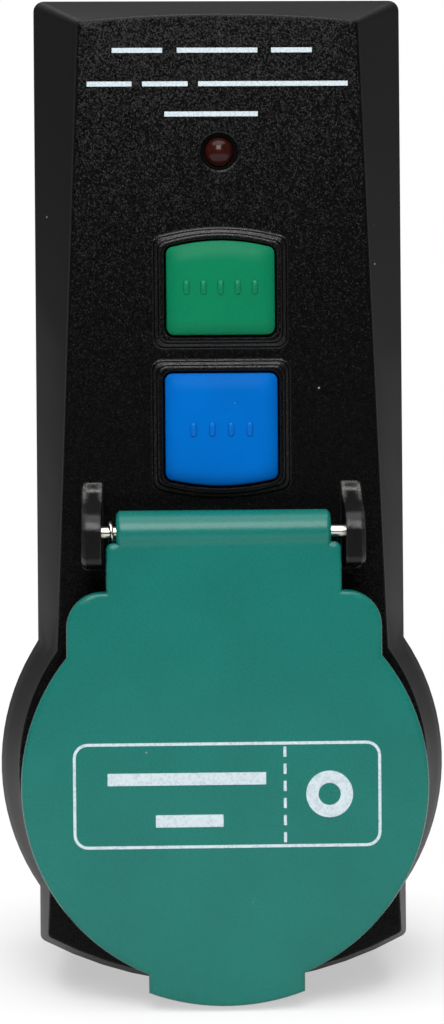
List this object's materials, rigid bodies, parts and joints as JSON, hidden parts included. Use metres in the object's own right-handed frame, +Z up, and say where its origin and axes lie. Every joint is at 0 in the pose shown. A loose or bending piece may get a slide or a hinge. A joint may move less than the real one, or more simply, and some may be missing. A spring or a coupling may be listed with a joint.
{
  "type": "residual current adapter plug",
  "caption": "Black plug-in residual current adapter with a sprung round flap over its socket, test and reset push buttons, a small lamp and round plug pins at the back.",
  "frame": {"origin": "on the plug's axis, in the plane of the plug's face on which the pins stand", "axes": "+X to the right seen from the front, +Y into the wall along the pins, +Z up along the body"},
  "size_m": [0.056, 0.0835, 0.1244],
  "materials": {
    "front_shell": "satin, with a grained panel",
    "rear_shell": "satin",
    "well_plastic": "satin",
    "seal_rubber": "matte",
    "screw_steel": "zinc plated",
    "contact_brass": "satin",
    "strip_steel": "nickel plated",
    "pin_nickel": "nickel plated",
    "hinge_steel": "polished",
    "spring_steel": "drawn wire",
    "flap_green": "satin",
    "button_green": "satin",
    "button_blue": "satin",
    "lamp_red": "clear gloss",
    "inner_plastic": "satin",
    "inner_pale": "satin",
    "board_green": "solder resist",
    "core_iron": "ground iron",
    "bar_copper": "rolled copper",
    "winding_copper": "enamelled wire",
    "core_blue": "enamel",
    "capacitor_red": "epoxy coat",
    "resistor_tan": "lacquer"
  },
  "bodies": {
    "housing": {"front_housing": "front_shell", "rear_housing": "rear_shell", "housing_seal": "seal_rubber", "housing_screws": "screw_steel", "socket_insert": "well_plastic", "socket_contact_live": "contact_brass", "socket_contact_neutral": "contact_brass", "socket_earth_clip": "strip_steel", "plug_pin_live": "pin_nickel", "plug_pin_neutral": "pin_nickel", "plug_earth_clip": "strip_steel", "earth_post": "contact_brass", "hinge_pin": "hinge_steel", "flap_springs": "spring_steel", "reset_spring": "spring_steel", "test_spring": "spring_steel", "button_guide": "inner_plastic", "test_posts": "contact_brass", "indicator_lamp": "lamp_red", "lamp_spacer": "inner_pale", "circuit_board": "board_green", "board_screws": "screw_steel", "carrier_guide_pins": "hinge_steel", "carrier_springs": "spring_steel", "feed_contacts": "contact_brass", "load_contacts": "contact_brass", "live_feed_bar": "bar_copper", "neutral_feed_bar": "bar_copper", "live_load_bar": "bar_copper", "neutral_load_bar": "bar_copper", "coil_bobbin": "inner_pale", "coil_winding": "winding_copper", "coil_core": "core_iron", "coil_yoke": "core_iron", "sensing_core": "core_blue", "sensing_winding": "winding_copper", "film_capacitor": "capacitor_red", "varistor": "core_blue", "control_chip": "inner_plastic", "test_resistor": "resistor_tan"},
    "flap": {"flap_lid": "flap_green", "flap_seal": "seal_rubber"},
    "reset": {"reset_button": "button_green"},
    "test": {"test_button": "button_blue", "test_bridge": "contact_brass"},
    "carrier": {"contact_carrier": "inner_pale", "armature_plate": "core_iron", "moving_contacts": "bar_copper"}
  },
  "joints": [
    {"name": "flap_hinge", "type": "hinge", "parent": "housing", "child": "flap", "pos_m": [0, -0.0616, 0.0305], "axis": [-1, 0, 0], "range_deg": [0, 160], "stiffness_Nm_per_rad": 0.012, "springref_deg": -57.3, "deforming": ["flap_springs"]},
    {"name": "reset_press", "type": "slide", "parent": "housing", "child": "reset", "axis": [0, 1, 0], "range_m": [0, 0.0025], "stiffness_N_per_m": 400, "springref_m": -0.002, "deforming": ["reset_spring"]},
    {"name": "test_press", "type": "slide", "parent": "housing", "child": "test", "axis": [0, 1, 0], "range_m": [0, 0.0015], "stiffness_N_per_m": 400, "springref_m": -0.002, "deforming": ["test_spring"]},
    {"name": "carrier_slide", "type": "slide", "parent": "housing", "child": "carrier", "axis": [0, 1, 0], "range_m": [0, 0.0025], "stiffness_N_per_m": 200, "springref_m": -0.002, "deforming": ["carrier_springs"]}
  ],
  "couplings": [
    {"joint": "carrier_slide", "follows": "reset_press", "ratio": 1}
  ]
}
